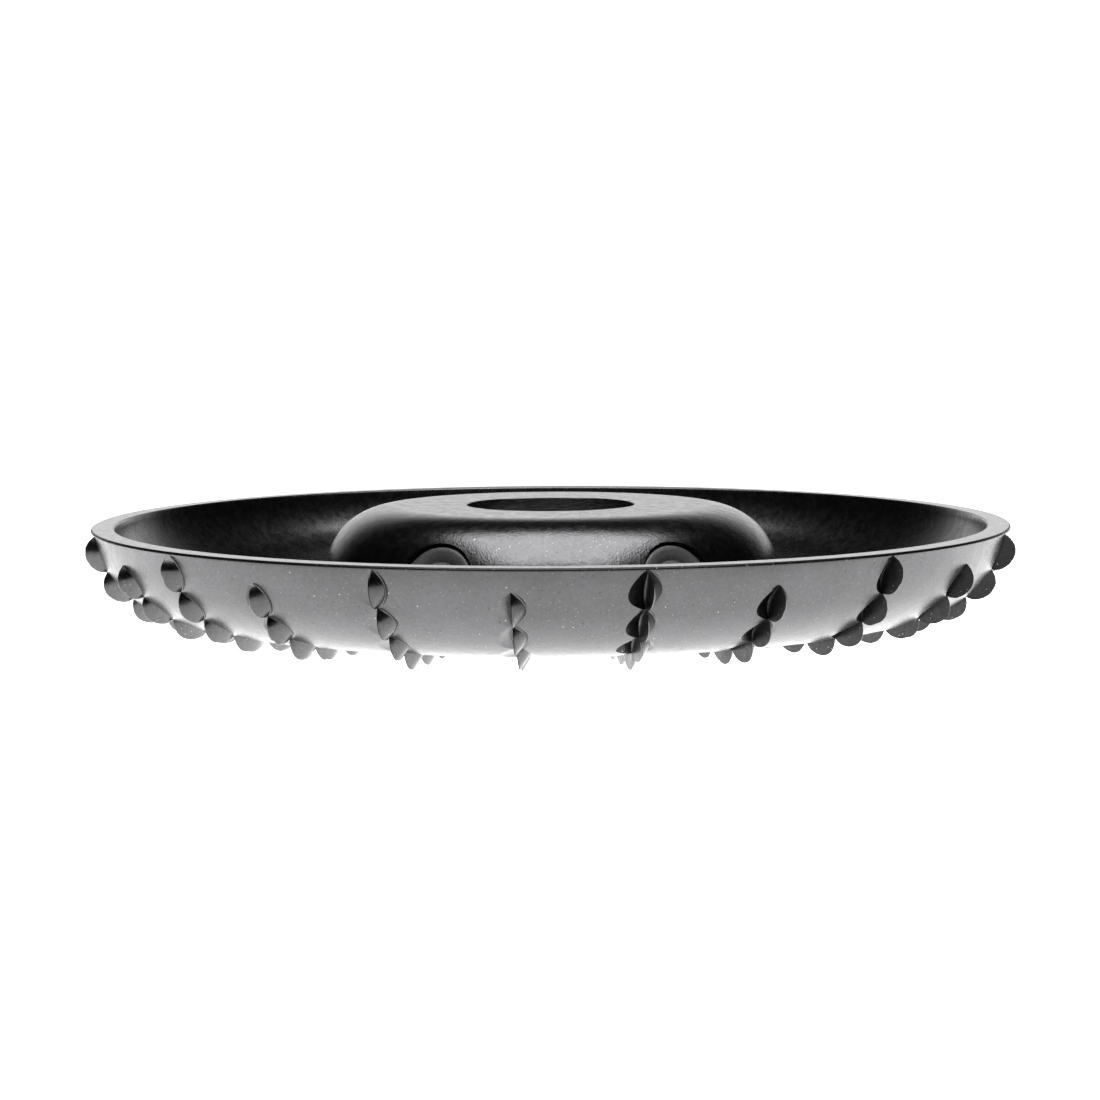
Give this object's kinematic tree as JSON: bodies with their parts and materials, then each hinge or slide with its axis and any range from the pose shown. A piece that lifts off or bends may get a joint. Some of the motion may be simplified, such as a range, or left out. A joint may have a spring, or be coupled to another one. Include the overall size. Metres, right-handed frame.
{
  "type": "angle grinder carving disc",
  "caption": "Shallow dished steel rasp disc with radial rows of raised teeth outside and a raised, vented hub with a plain bore.",
  "frame": {"origin": "on the bore axis, in the plane of the lowest tooth tips, which the disc stands on", "axes": "+Z along the bore axis towards the grinder, out of the open side of the dish; X and Y across the disc, with -Y the side that faces the viewer"},
  "size_m": [0.1203, 0.1205, 0.0151],
  "materials": {
    "body_steel": "satin black over steel, ground bare on the rim face",
    "hub_steel": "satin black over steel",
    "tooth_steel": "dark steel with bright cutting edges"
  },
  "bodies": {
    "root": {"dish_shell": "body_steel", "hub_cup": "hub_steel", "tooth_row_01": "tooth_steel", "tooth_row_02": "tooth_steel", "tooth_row_03": "tooth_steel", "tooth_row_04": "tooth_steel", "tooth_row_05": "tooth_steel", "tooth_row_06": "tooth_steel", "tooth_row_07": "tooth_steel", "tooth_row_08": "tooth_steel", "tooth_row_09": "tooth_steel", "tooth_row_10": "tooth_steel", "tooth_row_11": "tooth_steel", "tooth_row_12": "tooth_steel", "tooth_row_13": "tooth_steel", "tooth_row_14": "tooth_steel", "tooth_row_15": "tooth_steel", "tooth_row_16": "tooth_steel", "tooth_row_17": "tooth_steel", "tooth_row_18": "tooth_steel", "tooth_row_19": "tooth_steel", "tooth_row_20": "tooth_steel", "tooth_row_21": "tooth_steel", "tooth_row_22": "tooth_steel", "tooth_row_23": "tooth_steel", "tooth_row_24": "tooth_steel"}
  },
  "joints": []
}
